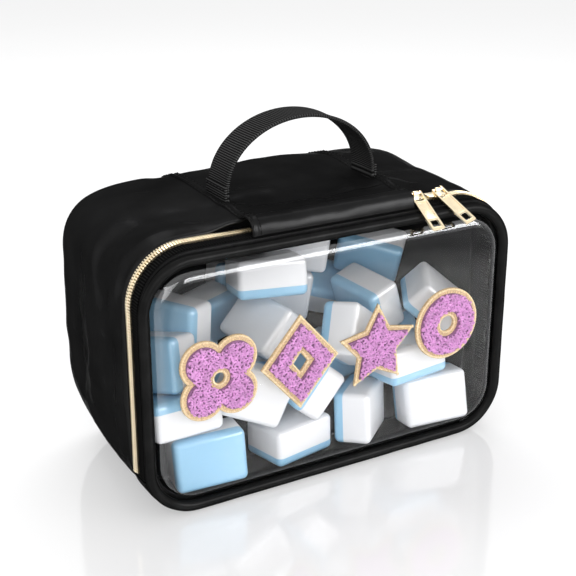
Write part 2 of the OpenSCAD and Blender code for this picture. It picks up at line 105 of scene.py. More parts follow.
# The middle of each tile in mm and its turns about X, Y and Z in degrees, as in the CAD, and
# the side of its own Y axis on which its blue back lies.
TILES = [
    (-74, -47, 23, -3, -3, -8, -1), (-16, -36, 16, 88, 0, 11, -1), (-92, -27, 74, -8, -11, -61, -1),
    (-74, -8, 85, -4, 1, -60, -1), (-88, -42, 50, -102, 1, 4, -1), (-42, 20, 73, 13, 1, 28, -1),
    (-22, -17, 76, -44, 5, -78, 1), (-43, -18, 46, 3, 10, 0, -1), (-20, -17, 107, 81, 1, -12, -1),
    (2, 12, 84, 3, 8, -20, 1), (13, 8, 114, 2, 8, -30, 1), (72, 17, 95, 27, 12, -40, -1),
    (52, -11, 76, 20, 3, -83, -1), (46, 31, 72, -54, 21, 3, -1), (85, -35, 76, 108, 41, -18, -1),
    (73, -12, 43, 6, 62, 9, -1), (59, -41, 49, 83, -3, 3, -1), (75, -46, 22, -10, -3, -10, 1),
    (29, -40, 22, 4, -6, -137, -1), (-6, -34, 46, 40, 0, 90, 1), (21, -41, 71, -8, 33, 33, 1),
    (-43, -41, 51, 0, -27, -179, -1), (28, -6, 44, -11, 6, 21, -1), (-60, 15, 17, 90, 2, 10, -1),
    (-10, 20, 19, 90, 0, 60, -1), (49, 21, 20, 89, 0, -18, -1), (-52, 27, 43, 1, 3, 21, -1),
    (8, 26, 46, 0, 1, -20, -1), (-5, 41, 82, 2, 2, -2, -1),
]
FRONT_TILES = 23
TILE_SIZE = Vector((40, 21.5, 30)) * MM


class ClothSettings(bpy.types.PropertyGroup):
    colour: FloatVectorProperty(name="Cloth colour", description="Colour of the outer cloth",
                                subtype="COLOR", size=3, min=0, max=1, default=(0.0165, 0.0165, 0.0167))
    fold_depth: FloatProperty(name="Fold depth", description="Depth of the random waves in the cloth",
                              subtype="DISTANCE", unit="LENGTH", min=0, max=0.003, default=0.0009)
    thickness: FloatProperty(name="Thickness", description="Thickness of the outer cloth",
                             subtype="DISTANCE", unit="LENGTH", min=0.0005, max=0.003, default=0.0012)


class ZipSettings(bpy.types.PropertyGroup):
    colour: FloatVectorProperty(name="Metal colour", description="Colour of the teeth, sliders and pulls",
                                subtype="COLOR", size=3, min=0, max=1, default=(0.93, 0.79, 0.55))
    pitch: FloatProperty(name="Tooth pitch", description="Distance between the teeth of one side",
                         subtype="DISTANCE", unit="LENGTH", min=0.001, max=0.004, default=0.0015)


class HandleSettings(bpy.types.PropertyGroup):
    rib: FloatProperty(name="Rib pitch", description="Distance between the ribs of the webbing",
                       subtype="DISTANCE", unit="LENGTH", min=0.0005, max=0.004, default=0.0014)


class WindowSettings(bpy.types.PropertyGroup):
    tint: FloatVectorProperty(name="Tint", description="Colour that light takes in the clear sheet",
                              subtype="COLOR", size=3, min=0, max=1, default=(0.96, 0.97, 0.985))
    gloss: FloatProperty(name="Roughness", description="Blur of the reflections on the sheet",
                         min=0, max=1, default=0.07)
    veil: FloatProperty(name="Veil", description="Share of its natural reflection that the flat sheet keeps",
                        min=0, max=1, default=0.45)
    # A painted highlight: the rim's reflection is raised by place, as the sheet is no thicker there.
    painted_rim_shine: FloatProperty(name="Rim shine", description="The same for the thick bent rim of the sheet",
                             min=0, max=6, default=3)


class PatchSettings(bpy.types.PropertyGroup):
    pile: FloatVectorProperty(name="Pile colour", description="Colour of the looped pile",
                              subtype="COLOR", size=3, min=0, max=1, default=(0.67, 0.31, 0.63))
    felt: FloatVectorProperty(name="Felt colour", description="Colour of the gold felt backing",
                              subtype="COLOR", size=3, min=0, max=1, default=(0.72, 0.52, 0.30))
    yarn: FloatProperty(name="Yarn radius", description="Radius of the yarn of the pile",
                        subtype="DISTANCE", unit="LENGTH", min=0.0002, max=0.002, default=0.00055)
    spacing: FloatProperty(name="Loop spacing", description="Distance between the loops of the pile",
                           subtype="DISTANCE", unit="LENGTH", min=0.0008, max=0.004, default=0.0018)


class TileSettings(bpy.types.PropertyGroup):
    white: FloatVectorProperty(name="Face colour", description="Colour of the front of a tile",
                               subtype="COLOR", size=3, min=0, max=1, default=(0.83, 0.84, 0.865))
    blue: FloatVectorProperty(name="Back colour", description="Colour of the back of a tile",
                              subtype="COLOR", size=3, min=0, max=1, default=(0.31, 0.58, 0.80))
    blue_layer: FloatProperty(name="Back layer", description="Thickness of the blue layer",
                              subtype="DISTANCE", unit="LENGTH", min=0.002, max=0.012, default=0.0058)
    edge: FloatProperty(name="Edge radius", description="Radius of a tile's edges",
                        subtype="DISTANCE", unit="LENGTH", min=0.001, max=0.006, default=0.0034)


class StageSettings(bpy.types.PropertyGroup):
    distance: FloatProperty(name="Camera distance", description="From the front's middle to the camera",
                            subtype="DISTANCE", unit="LENGTH", min=0.3, max=2, default=0.65325)
    elevation: FloatProperty(name="Camera height angle", description="How far the camera looks down",
                             subtype="ANGLE", unit="ROTATION", default=math.radians(21.02))
    azimuth: FloatProperty(name="Camera side angle", description="How far the camera stands to the left",
                           subtype="ANGLE", unit="ROTATION", default=math.radians(-30))
    lens: FloatProperty(name="Lens", description="Focal length for a 36 mm sensor", subtype="DISTANCE_CAMERA",
                        unit="CAMERA", min=20, max=200, default=75.057)
    shown_at: FloatVectorProperty(name="Middle in the image", size=2, default=(336.82, 352.85),
                                  description="Pixel at which the middle of the front is seen")


SETTINGS = {
    "case_cloth": ClothSettings, "case_zip": ZipSettings, "case_handle": HandleSettings,
    "case_window": WindowSettings, "case_patches": PatchSettings, "case_tiles": TileSettings,
    "case_stage": StageSettings,
}


def finish_piece(name, bm, materials, body="case", replaced=(), sharp=None):
    """Turns a bmesh into an object that rides on a body and stands for CAD nodes. Edges sharper
    than an angle in degrees stay sharp."""
    mesh = bpy.data.meshes.new(name)
    bm.to_mesh(mesh)
    bm.free()
    for m in materials:
        mesh.materials.append(material(m))
    mesh.shade_smooth()
    if sharp is not None:
        mesh.set_sharp_from_angle(angle=math.radians(sharp))
    piece = bpy.data.objects.new(name, mesh)
    bpy.context.scene.collection.objects.link(piece)
    if replaced:
        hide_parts(*replaced)
    if body:
        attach(piece, body)
    return piece


def apply_modifiers(piece, sharp=None):
    """Makes the shape that the modifiers give the piece's own mesh."""
    bpy.context.view_layer.update()
    graph = bpy.context.evaluated_depsgraph_get()
    mesh = bpy.data.meshes.new_from_object(piece.evaluated_get(graph))
    piece.modifiers.clear()
    old = piece.data
    piece.data = mesh
    bpy.data.meshes.remove(old)
    mesh.shade_smooth()
    if sharp is not None:
        mesh.set_sharp_from_angle(angle=math.radians(sharp))


def thicken(piece, thickness):
    """Gives a sheet a wall on the inner side of its outward face."""
    wall = piece.modifiers.new("wall", "SOLIDIFY")
    wall.thickness = thickness
    wall.offset = -1
    apply_modifiers(piece)


def subdivide(piece):
    finer = piece.modifiers.new("finer", "SUBSURF")
    finer.levels = finer.render_levels = 1
    apply_modifiers(piece)


def mapped_grid(columns, rows, place, closed=False, size=(1, 1)):
    """A grid whose point (i, j) is moved to place(i, j), with its meeting edges joined where it is
    closed, and a UV map that spans the size."""
    bm = bmesh.new()
    uv = bm.loops.layers.uv.new("UVMap")
    bmesh.ops.create_grid(bm, x_segments=columns, y_segments=rows, size=1)
    for f in bm.faces:
        for corner in f.loops:
            corner[uv].uv = ((corner.vert.co.x + 1) / 2 * size[0], (corner.vert.co.y + 1) / 2 * size[1])
    for v in bm.verts:
        v.co = place(round((v.co.x + 1) / 2 * columns), round((v.co.y + 1) / 2 * rows))
    if closed:
        bmesh.ops.remove_doubles(bm, verts=bm.verts, dist=1e-6)
    bmesh.ops.recalc_face_normals(bm, faces=bm.faces)
    return bm


def round_edges(bm, edges, radius, segments):
    bmesh.ops.bevel(bm, geom=edges, offset=radius, segments=segments, affect="EDGES", profile=0.5, material=-1)


def close_ends(bm):
    bmesh.ops.holes_fill(bm, edges=[e for e in bm.edges if e.is_boundary], sides=0)
    bmesh.ops.recalc_face_normals(bm, faces=bm.faces)


def cad_copy(node):
    """A bmesh of a CAD node with its flat faces whole."""
    bm = bmesh.new()
    bm.from_mesh(FRAME["nodes"][node].data)
    bmesh.ops.remove_doubles(bm, verts=bm.verts, dist=1e-6)
    bmesh.ops.dissolve_limit(bm, angle_limit=math.radians(1), verts=bm.verts, edges=bm.edges)
    return bm


def from_cad(node, ending, kind, body, sharp):
    """A piece with the shape of its CAD node and one material, after which its slot is named."""
    return finish_piece(node + ending, cad_copy(node), [kind], body, (node,), sharp)


def heading(angle):
    """The direction at an angle in radians from X towards Z."""
    return Vector((math.cos(angle), 0, math.sin(angle)))


def corner_path(half, bottom, top, low_r, top_r, arc=12, side=8, across=16):
    """Points of a rounded rectangle in X and Z with their outward normals, clockwise from the
    start of the bottom left corner as seen from the front."""
    corners = [(-(half - low_r), bottom + low_r, 270, low_r, side),
               (-(half - top_r), top - top_r, 180, top_r, across),
               (half - top_r, top - top_r, 90, top_r, side),
               (half - low_r, bottom + low_r, 0, low_r, across)]
    path = []
    for k, (cx, cz, start, r, n) in enumerate(corners):
        for m in range(arc + 1):
            out = heading(math.radians(start - 90 * m / arc))
            path.append((Vector((cx, 0, cz)) + out * r, out))
        nx, nz, nstart, nr, _ = corners[(k + 1) % 4]
        out = heading(math.radians(nstart))
        end = Vector((nx, 0, nz)) + out * nr
        last = path[-1][0]
        for m in range(1, n):
            path.append((last.lerp(end, m / n), out))
    return path


def sweep(path, profile, closed=True, size=(1, 1)):
    """Sweeps a closed profile of (across, up) pairs along points that carry an up and an across
    direction."""
    n, m = len(path), len(profile)

    def place(i, j):
        point, up, side = path[i % n]
        across, rise = profile[j % m]
        return point + side * across + up * rise

    bm = mapped_grid(n if closed else n - 1, m, place, True, size)
    if not closed:
        close_ends(bm)
    return bm


def arch_at(t, half, top, radius, start_z):
    """Point and outward normal at length t of the arch that the zip follows, from its left end."""
    side = top - radius - start_z
    curve = math.pi * radius / 2
    run = 2 * (half - radius)
    total = 2 * (side + curve) + run
    if t > total / 2:
        p, out = arch_at(total - t, half, top, radius, start_z)
        return Vector((-p.x, 0, p.z)), Vector((-out.x, 0, out.z))
    if t < side:
        return Vector((-half, 0, start_z + t)), Vector((-1, 0, 0))
    if t < side + curve:
        out = heading(math.radians(180 - 90 * (t - side) / curve))
        return Vector((-half + radius, 0, top - radius)) + out * radius, out
    return Vector((-half + radius + t - side - curve, 0, top)), Vector((0, 0, 1))


def arch_length(half, top, radius, start_z):
    return 2 * (top - radius - start_z + math.pi * radius / 2) + 2 * (half - radius)


def arch_path(half, top, radius, start_z, step):
    total = arch_length(half, top, radius, start_z)
    n = round(total / step)
    return [arch_at(total * k / n, half, top, radius, start_z) for k in range(n + 1)]


def round_profile(y, away, radius, n=12):
    return [(y + radius * math.cos(2 * math.pi * k / n), away + radius * math.sin(2 * math.pi * k / n))
            for k in range(n)]


def surface_of(*meshes):
    """The surface of some meshes, for finding the nearest or the first point on it."""
    bm = bmesh.new()
    for mesh in meshes:
        bm.from_mesh(mesh)
    tree = BVHTree.FromBMesh(bm)
    bm.free()
    return tree


def spread(shape, places):
    """One bmesh with a copy of a small shape at each place, given as a matrix."""
    pattern = bpy.data.meshes.new("pattern")
    shape.to_mesh(pattern)
    shape.free()
    bm = bmesh.new()
    for place in places:
        copy = pattern.copy()
        copy.transform(place)
        bm.from_mesh(copy)
        bpy.data.meshes.remove(copy)
    bpy.data.meshes.remove(pattern)
    return bm


def bead():
    """A small ball of radius 1, to be stretched to a stitch."""
    bm = bmesh.new()
    bmesh.ops.create_icosphere(bm, subdivisions=1, radius=1)
    return bm


def courses(points):
    """The direction of a line at each of its points."""
    return [(b - a).normalized() for a, b in zip(points[:1] + points, points[1:] + points[-1:])]


def facing(at, along, across, up, scale=(1, 1, 1)):
    """Places a shape whose X, Y and Z axes point along, across and up."""
    turn = Matrix((along * scale[0], across * scale[1], up * scale[2])).transposed().to_4x4()
    return Matrix.Translation(at) @ turn


def sew(name, lines, body, radius=0.28 * MM, stitch=2.6 * MM, gap=1.1 * MM):
    """Rows of stitches that lie along lines of points with their normals."""
    places = []
    for line in lines:
        along = 0.0
        for (a, up), (b, _) in zip(line, line[1:]):
            step = (b - a).length
            while step > 1e-9 and along < step:
                course = (b - a) / step
                side = up.cross(course).normalized()
                places.append(facing(a + course * along + up * radius * 0.3, course, side, course.cross(side),
                                     (stitch / 2, radius, radius)))
                along += stitch + gap
            along -= step
    finish_piece(name, spread(bead(), places), ["thread"], body, ())


def add_node(tree, kind, inputs=(), **settings):
    """Adds a node to a tree. Each input is given a value or the socket that feeds it."""
    new = tree.nodes.new("ShaderNode" + kind)
    for key, value in settings.items():
        setattr(new, key, value)
    for key, value in dict(inputs).items():
        if isinstance(value, bpy.types.NodeSocket):
            tree.links.new(value, new.inputs[key])
        else:
            new.inputs[key].default_value = value
    return new


def shader(name, colour, roughness, **inputs):
    """The nodes of a new material with one Principled shader."""
    m = bpy.data.materials.new("case_" + name)
    m.use_nodes = True
    m.diffuse_color = (*colour, 1)
    bsdf = m.node_tree.nodes["Principled BSDF"]
    for key, value in {"Base Color": (*colour, 1), "Roughness": roughness, **inputs}.items():
        bsdf.inputs[key].default_value = value
    return m.node_tree


def feed(tree, key, socket):
    """Lets a socket drive an input of the shader."""
    tree.links.new(socket, tree.nodes["Principled BSDF"].inputs[key])


def add_bump(tree, height, strength, distance):
    bump = add_node(tree, "Bump", {"Strength": strength, "Distance": distance, "Height": height})
    feed(tree, "Normal", bump.outputs["Normal"])


def noise_height(tree, scale, detail=3):
    """Noise on the object's own coordinates."""
    coords = add_node(tree, "TexCoord").outputs["Object"]
    return add_node(tree, "TexNoise", {"Scale": scale, "Detail": detail, "Roughness": 0.55,
                                       "Vector": coords}).outputs["Fac"]


# Width of a wave texture's band at a scale of 1.
BAND = 0.31


def rib_height(tree, pitch, axis="X"):
    """Ribs across a piece, which follow its UV map in metres."""
    coords = add_node(tree, "TexCoord").outputs["UV"]
    return add_node(tree, "TexWave", {"Scale": BAND / pitch, "Distortion": 0.3, "Detail": 1, "Vector": coords},
                    bands_direction=axis).outputs["Fac"]


def joined(tree, a, b, share):
    """A mix of two heights, with a share of the second."""
    return add_node(tree, "Mix", {0: share, 2: a, 3: b}).outputs[0]


def vary_colour(tree, fac, dark, light):
    ramp = add_node(tree, "ValToRGB", {"Fac": fac})
    for end, place, colour in zip(ramp.color_ramp.elements, (0.3, 0.7), (dark, light)):
        end.color = (*colour, 1)
        end.position = place
    feed(tree, "Base Color", ramp.outputs["Color"])


def tinted(colour, factor):
    return tuple(min(1.0, c * factor) for c in colour)


def dark_cloth(name, colour, roughness, shine):
    """A black textile: its shine is a share of its colour and hardly grows at a glancing angle,
    because the nap of the threads shades itself."""
    return shader(name, colour, roughness, **{"Metallic": shine, "Specular IOR Level": 0,
                                              "Specular Tint": (0.15, 0.15, 0.15, 1)})


def outer_cloth():
    """Smooth coated cloth with a fine weave and a satin face. Its colour carries painted sheen and painted
    shade in patches.
    """
    colour = tuple(bpy.context.scene.case_cloth.colour)
    tree = dark_cloth("outer_cloth", colour, 0.3, 0.5)
    # Lighter and darker patches about the size of the folds: painted sheen and painted shade, laid by noise and
    # not by the folds themselves.
    vary_colour(tree, noise_height(tree, 26, 4), tinted(colour, 0.8), tinted(colour, 1.35))
    grain = joined(tree, noise_height(tree, 1900, 2), noise_height(tree, 240), 0.35)
    add_bump(tree, grain, 0.16, 0.0003)


def piping_vinyl():
    tree = dark_cloth("piping_vinyl", (0.0125, 0.0125, 0.0125), 0.34, 0.35)
    vary_colour(tree, noise_height(tree, 90), (0.010,) * 3, (0.015,) * 3)
    grain = joined(tree, noise_height(tree, 1300, 2), noise_height(tree, 70, 2), 0.4)
    add_bump(tree, grain, 0.14, 0.0004)


def zip_tape():
    """Woven tape with cords that run across it, painted lighter on the cords and darker between them."""
    tree = dark_cloth("zip_tape", (0.008, 0.008, 0.0085), 0.5, 0.4)
    cords = rib_height(tree, 1.5 * MM)
    # The cords' lighter tops and darker gaps are painted highlight and painted shade; the cords themselves are
    # bumps.
    vary_colour(tree, cords, (0.004,) * 3, (0.0125,) * 3)
    add_bump(tree, cords, 0.6, 0.0004)


def webbing():
    """Tape of the handle, with ribs across its width, a painted highlight along each rib and painted shade
    between them.
    """
    pitch = bpy.context.scene.case_handle.rib
    tree = dark_cloth("webbing", (0.03, 0.03, 0.031), 0.45, 0.4)
    ribs = rib_height(tree, pitch)
    # The ribs' colour, light on each rib and dark between them, is painted highlight and painted shade; the
    # ribs themselves are bumps.
    vary_colour(tree, ribs, (0.01,) * 3, (0.055,) * 3)
    add_bump(tree, joined(tree, ribs, rib_height(tree, pitch * 0.9, "Y"), 0.2), 0.7, 0.0005)


def thread():
    tree = dark_cloth("thread", (0.012, 0.012, 0.0125), 0.45, 0.5)
    vary_colour(tree, noise_height(tree, 1500, 2), (0.006,) * 3, (0.015,) * 3)


def zip_metal():
    colour = tuple(bpy.context.scene.case_zip.colour)
    tree = shader("zip_metal", colour, 0.26, Metallic=1.0)
    vary_colour(tree, noise_height(tree, 160, 2), tinted(colour, 0.93), tinted(colour, 1.06))
    add_bump(tree, noise_height(tree, 500, 2), 0.06, 0.0002)


def clear_vinyl():
    """Clear sheet: light passes through it but for its reflections, which its edge-on parts show most. Along
    its bent rim the reflection is made stronger by place, a painted highlight, and the flat sheet keeps only a
    share of it. The far side of the sheet shows none."""
    s = bpy.context.scene.case_window
    tree = shader("clear_vinyl", tuple(s.tint), s.gloss, Metallic=1.0)
    behind = add_node(tree, "NewGeometry").outputs["Backfacing"]
    axes = add_node(tree, "SeparateXYZ", {0: add_node(tree, "TexCoord").outputs["Object"]})
    # Painted highlight: the reflection rises by place along Y, from the veil share on the flat sheet to the rim
    # share along the bent rim.
    rim = add_node(tree, "MapRange", {"Value": axes.outputs["Y"], "From Min": FRONT_Y - 3.9 * MM,
                                      "From Max": FRONT_Y - 1.5 * MM, "To Min": s.veil, "To Max": s.painted_rim_shine})
    alpha = add_node(tree, "Fresnel", {"IOR": 1.46}).outputs[0]
    for factor in (add_node(tree, "Math", {0: 1.0, 1: behind}, operation="SUBTRACT"), rim):
        alpha = add_node(tree, "Math", {0: alpha, 1: factor.outputs[0]}, operation="MULTIPLY",
                         use_clamp=True).outputs[0]
    feed(tree, "Alpha", alpha)


def felt_cloth():
    """Gold felt with bright threads worked into it."""
    colour = tuple(bpy.context.scene.case_patches.felt)
    tree = shader("felt_cloth", colour, 0.75)
    vary_colour(tree, noise_height(tree, 1100), tinted(colour, 0.62), tinted(colour, 1.3))
    add_bump(tree, noise_height(tree, 1500, 2), 0.6, 0.0004)


def gold_thread():
    tree = shader("gold_thread", (0.86, 0.72, 0.44), 0.42, Metallic=0.35)
    vary_colour(tree, noise_height(tree, 900, 2), (0.68, 0.50, 0.26), (0.95, 0.84, 0.60))


def yarn():
    colour = tuple(bpy.context.scene.case_patches.pile)
    tree = shader("yarn", colour, 0.72, **{"Sheen Weight": 0.35, "Sheen Roughness": 0.4,
                                           "Sheen Tint": (1, 0.85, 0.98, 1)})
    vary_colour(tree, noise_height(tree, 420), tinted(colour, 0.8), tinted(colour, 1.25))
    add_bump(tree, noise_height(tree, 4200, 2), 0.5, 0.0002)


def shaded_yarn_ground():
    # Darker than the pile it lies under: painted shade between the loops.
    colour = tinted(tuple(bpy.context.scene.case_patches.pile), 0.42)
    tree = shader("shaded_yarn_ground", colour, 0.9)
    vary_colour(tree, noise_height(tree, 900), tinted(colour, 0.7), tinted(colour, 1.3))


def tile_plastic(name, colour):
    tree = shader(name, colour, 0.3, **{"Coat Weight": 0.3, "Coat Roughness": 0.12})
    vary_colour(tree, noise_height(tree, 30, 2), tinted(colour, 0.97), tinted(colour, 1.02))
    add_bump(tree, noise_height(tree, 120, 2), 0.04, 0.0004)


def floor_gloss():
    """Glossy white. The camera sees it partly as plain white, so that it fades into the background."""
    tree = shader("floor_gloss", (0.90, 0.90, 0.905), 0.09, IOR=2.1)
    vary_colour(tree, noise_height(tree, 3, 2), (0.895, 0.895, 0.90), (0.905, 0.905, 0.91))
    seen = add_node(tree, "LightPath").outputs["Is Camera Ray"]
    share = add_node(tree, "Math", {0: seen, 1: 0.38}, operation="MULTIPLY")
    plain = add_node(tree, "Emission", {"Color": (1, 1, 1, 1)})
    mix = add_node(tree, "MixShader", {0: share.outputs[0], 1: tree.nodes["Principled BSDF"].outputs[0],
                                       2: plain.outputs[0]})
    tree.links.new(mix.outputs[0], tree.nodes["Material Output"].inputs["Surface"])


def lining_cloth():
    tree = shader("lining_cloth", (0.014, 0.014, 0.015), 0.6, **{"Specular IOR Level": 0.1})
    vary_colour(tree, noise_height(tree, 60), (0.010,) * 3, (0.019, 0.019, 0.020))
    grain = joined(tree, noise_height(tree, 1500, 2), noise_height(tree, 55), 0.6)
    add_bump(tree, grain, 0.08, 0.0004)


def tile_white():
    tile_plastic("tile_white", tuple(bpy.context.scene.case_tiles.white))


def tile_blue():
    tile_plastic("tile_blue", tuple(bpy.context.scene.case_tiles.blue))


MATERIALS = {make.__name__: make for make in (
    outer_cloth, piping_vinyl, zip_tape, webbing, thread, zip_metal, clear_vinyl, felt_cloth, gold_thread, yarn,
    shaded_yarn_ground, lining_cloth, floor_gloss, tile_white, tile_blue)}


def material(name):
    """A material by its name, made the first time that a piece asks for it."""
    if "case_" + name not in bpy.data.materials:
        MATERIALS[name]()
    return bpy.data.materials["case_" + name]


SHELL_NODES = ("back_panel", "side_panel_left", "side_panel_right", "top_panel", "base_panel")
TUBE_ROWS, ROUND_ROWS, CAP_ROWS = 60, 14, 20
RING_STEPS = {"arc": 18, "side": 36, "across": 80}
BACK_R = 14 * MM
# Height past which no fold rises.
MOST_RISE = 1.7 * MM

# Soft folds of the cloth in mm: from, to, half width and height.
FOLDS = [
    ((-106, -34, 147), (-88, -35, 152), 5, 1.0), ((-88, -35, 152), (-52, -41, 154), 4.5, 1.3),
    ((-100, -16, 150), (-58, -24, 154), 9, -1.4), ((-110, 8, 144), (-66, 10, 154), 14, 0.9),
    ((-48, -22, 154), (-34, -38, 154), 4, 0.9), ((-40, -8, 154), (-14, -10, 154), 5, 0.8),
    ((-36, -20, 154), (10, -24, 154), 9, -1.1), ((8, 20, 154), (34, 26, 154), 16, 1.4),
    ((-20, 8, 154), (6, 14, 154), 8, -0.8), ((48, -24, 154), (78, -34, 152), 4.5, 1.2),
    ((60, 0, 153), (96, 10, 148), 9, -1.2), ((54, 22, 153), (92, 34, 148), 8, 0.8),
    ((-117, 2, 142), (-117, -5, 112), 5.5, 1.5), ((-117, -5, 112), (-117, 2, 48), 6.5, 1.2),
    ((-117, -36, 124), (-117, -18, 94), 6, 1.2), ((-117, -40, 108), (-116, -38, 62), 4.5, 0.9),
    ((-117, -24, 112), (-117, -22, 60), 7, -1.3), ((-116, 22, 120), (-115, 26, 50), 8, -1.2),
    ((-115, 38, 126), (-114, 40, 60), 6, 1.0), ((-115, 10, 30), (-112, -28, 14), 6, 1.0),
    ((117, -34, 118), (117, -16, 84), 6, 1.3), ((117, 4, 138), (117, -4, 66), 7, 1.2),
    ((116, 24, 120), (115, 20, 44), 8, -1.3), ((117, -24, 80), (114, -20, 24), 6, 1.0),
    ((-82, 60, 124), (-40, 60, 96), 9, -1.4), ((-60, 60, 70), (-10, 60, 104), 9, 1.2),
    ((20, 60, 112), (78, 60, 66), 10, -1.4), ((46, 60, 40), (94, 59, 30), 8, 1.1),
    ((-96, 58, 60), (-70, 60, 26), 8, 1.1),
]


def shell_section(depth):
    """Half width, bottom, top, lower radius and upper radius of the case at a depth from 0 at
    its front edge to 1 where the back begins to round."""
    return (SHELL_HALF - (1 + 2 * depth) * MM, 0.0, TAPE_TOP + (1.6 + 5 * math.sin(math.pi / 2 * depth)) * MM,
            (31.5 + 14.5 * depth) * MM, 31.5 * MM)


def shell_ring(row):
    """The path of one ring of the case's skin and its y, from the front edge round to the middle
    of the back."""
    round_y = BACK_Y - 2 * MM - BACK_R
    if row <= TUBE_ROWS:
        depth = row / TUBE_ROWS
        return corner_path(*shell_section(depth), **RING_STEPS), SHELL_Y + depth * (round_y - SHELL_Y)
    half, bottom, top, low_r, top_r = shell_section(1)
    if row <= TUBE_ROWS + ROUND_ROWS:
        a = math.pi / 2 * (row - TUBE_ROWS) / ROUND_ROWS
        e, y = BACK_R * (1 - math.cos(a)), round_y + BACK_R * math.sin(a)
    else:
        k = (row - TUBE_ROWS - ROUND_ROWS) / CAP_ROWS
        e, y = BACK_R + k * (top / 2 - BACK_R - 1 * MM), round_y + BACK_R + 2 * MM * k
    return corner_path(half - e, bottom + e, top - e, max(low_r - e, 0.5 * MM), max(top_r - e, 0.5 * MM),
                       **RING_STEPS), y


def fold_height(p, depth):
    """Height of the folds of the cloth at a point of its skin."""
    rise = 0.0
    for start, end, width, height in FOLDS:
        a, course = Vector(start) * MM, (Vector(end) - Vector(start)) * MM
        t = max(0.0, min(1.0, (p - a).dot(course) / course.length_squared))
        off = (p - a - course * t).length / (width * MM)
        rise += height * MM * math.exp(-off * off)
    rise += depth * noise.noise(p * 26) + 0.5 * depth * noise.noise(p * 70)
    rise += 0.9 * depth * (1 - abs(noise.noise(p * 17 + Vector((3.1, 0, 0)))) * 2) ** 3
    fade = max(0.0, min(1.0, (p.y - SHELL_Y - 0.5 * MM) / (9 * MM))) * max(0.12, min(1.0, p.z / (14 * MM)))
    return MOST_RISE * math.tanh(1.5 * rise / MOST_RISE) * fade


class CASE_OT_shell(bpy.types.Operator):
    """Makes the padded cloth shell of the case with its folds"""
    bl_idname = "case.shell"
    bl_label = "Cloth shell"

    def execute(self, context):
        cloth = context.scene.case_cloth
        tree = surface_of(*(FRAME["nodes"][n].data for n in SHELL_NODES))
        rings = [shell_ring(r) for r in range(TUBE_ROWS + ROUND_ROWS + CAP_ROWS + 1)]
        n = len(rings[0][0])

        def place(i, j):
            path, y = rings[j]
            p, out = path[i % n]
            outside = 3 * MM if j < TUBE_ROWS else 0
            hit = tree.find_nearest(Vector((p.x, y, p.z)) + out * outside)[0]
            return hit if j > 0 else Vector((hit.x, SHELL_Y, hit.z))

        bm = mapped_grid(n, len(rings) - 1, place, closed=True)
        skin = [v for v in bm.verts if v.co.y > SHELL_Y + 0.5 * MM]
        back = [e for e in bm.edges if e.is_boundary and e.verts[0].co.y > 0]
        bmesh.ops.triangulate(bm, faces=bmesh.ops.holes_fill(bm, edges=back, sides=0)["faces"])
        soften = {"verts": skin, "factor": 0.5, "use_axis_x": True, "use_axis_y": True, "use_axis_z": True}
        for _ in range(6):
            bmesh.ops.smooth_vert(bm, **soften)
        bm.normal_update()
        for v in skin:
            v.co += v.normal * (max(fold_height(v.co, cloth.fold_depth), -1.0 * MM) + 0.5 * MM)
            v.co.z = max(v.co.z, 0.0)
        bmesh.ops.smooth_vert(bm, **soften)
        piece = finish_piece("cloth_shell", bm, ["outer_cloth"], "case", SHELL_NODES)
        thicken(piece, cloth.thickness)
        return {"FINISHED"}


class CASE_OT_lining(bpy.types.Operator):
    """Lays the lining and padding inside the shell"""
    bl_idname = "case.lining"
    bl_label = "Lining and padding"

    def execute(self, context):
        for node, slot in (("lining", "lining_cloth"), ("foam_padding", "padding")):
            bm = cad_copy(node)
            if slot == "padding":
                middle, below = Vector((0, 0, FRONT_H / 2)), 1.2 * MM
                for v in [v for v in bm.verts if v.normal.dot(v.co - middle) > 0]:
                    v.co -= v.normal * below
            piece = finish_piece(node + "_cloth", bm, ["lining_cloth"], "case", (node,), 50)
        return {"FINISHED"}


FLAP_ENDS = (-48.6 * MM, 50.4 * MM)
# The flap's section in front of the shell in mm: y and z.
FLAP_SECTION = [(-46.4, 153.75), (-48.4, 153.8), (-50.4, 153.7), (-52.1, 153.4), (-53.6, 152.8), (-54.8, 151.9),
                (-55.8, 150.7), (-56.5, 149.2), (-57.0, 147.6), (-57.3, 146.2), (-57.2, 145.1), (-56.6, 144.5)]


